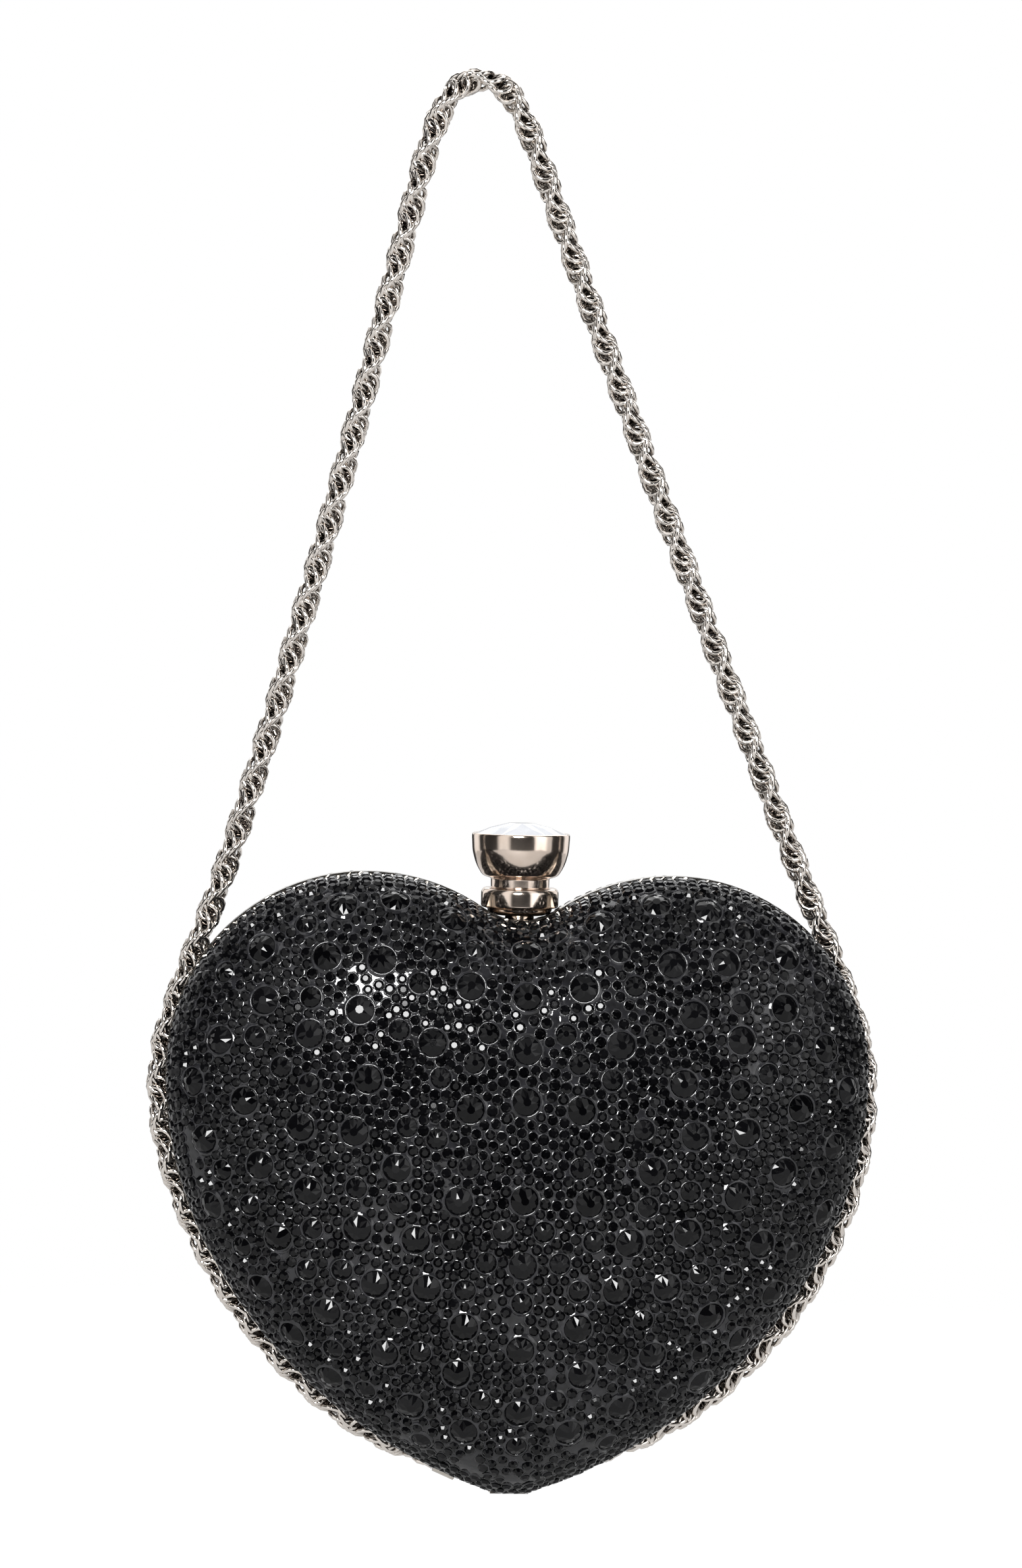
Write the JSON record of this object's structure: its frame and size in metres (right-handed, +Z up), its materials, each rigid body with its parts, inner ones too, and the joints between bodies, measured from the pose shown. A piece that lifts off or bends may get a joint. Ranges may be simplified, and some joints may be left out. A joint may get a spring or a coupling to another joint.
{
  "type": "heart shaped evening bag",
  "caption": "Heart shaped hard-case evening bag with black stone covered halves, a hinge at the tip, a push knob clasp and a rope chain strap.",
  "frame": {"origin": "the point where the chain hangs: the underside of the top of its loop", "axes": "+Z up, -Y towards the front half, +X to the viewer's right when facing the front; the seam is on y = 0"},
  "size_m": [0.174, 0.063, 0.3337],
  "materials": {
    "black_stones": "faceted black stones in dark resin",
    "case_shell": "moulded",
    "lining_cloth": "satin",
    "polished_nickel": "polished",
    "steel_fittings": "plated",
    "chain_metal": "polished",
    "clear_crystal": "faceted"
  },
  "bodies": {
    "rear_half": {"rear_casing": "case_shell", "rear_frame": "polished_nickel", "rear_stone_bed": "black_stones", "rear_lining": "lining_cloth", "hinge_knuckles_rear": "steel_fittings", "hinge_rivets_rear": "steel_fittings", "hinge_pin": "steel_fittings", "chain_anchor": "steel_fittings", "chain_anchor_nut": "steel_fittings", "chain_ring_left": "steel_fittings", "chain_ring_right": "steel_fittings", "chain_end_cap_left": "steel_fittings", "chain_end_cap_right": "steel_fittings", "strap_chain": "chain_metal", "clasp_base": "polished_nickel", "clasp_nut": "steel_fittings", "clasp_spring": "steel_fittings"},
    "clasp_button": {"clasp_knob": "polished_nickel", "clasp_crystal": "clear_crystal", "latch_hook": "steel_fittings", "latch_clip": "steel_fittings"},
    "front_half": {"front_casing": "case_shell", "front_frame": "polished_nickel", "front_stone_bed": "black_stones", "front_lining": "lining_cloth", "hinge_knuckle_front": "steel_fittings", "hinge_rivets_front": "steel_fittings", "strike_plate": "steel_fittings", "strike_rivets": "steel_fittings"}
  },
  "joints": [
    {"name": "front_open", "type": "hinge", "parent": "rear_half", "child": "front_half", "pos_m": [0.0138, 0, -0.326], "axis": [1, 0, 0], "range_deg": [0, 95]},
    {"name": "clasp_press", "type": "slide", "parent": "rear_half", "child": "clasp_button", "axis": [0, 0, -1], "range_m": [0, 0.0018], "stiffness_N_per_m": 800, "springref_m": -0.002, "deforming": ["clasp_spring"]}
  ]
}
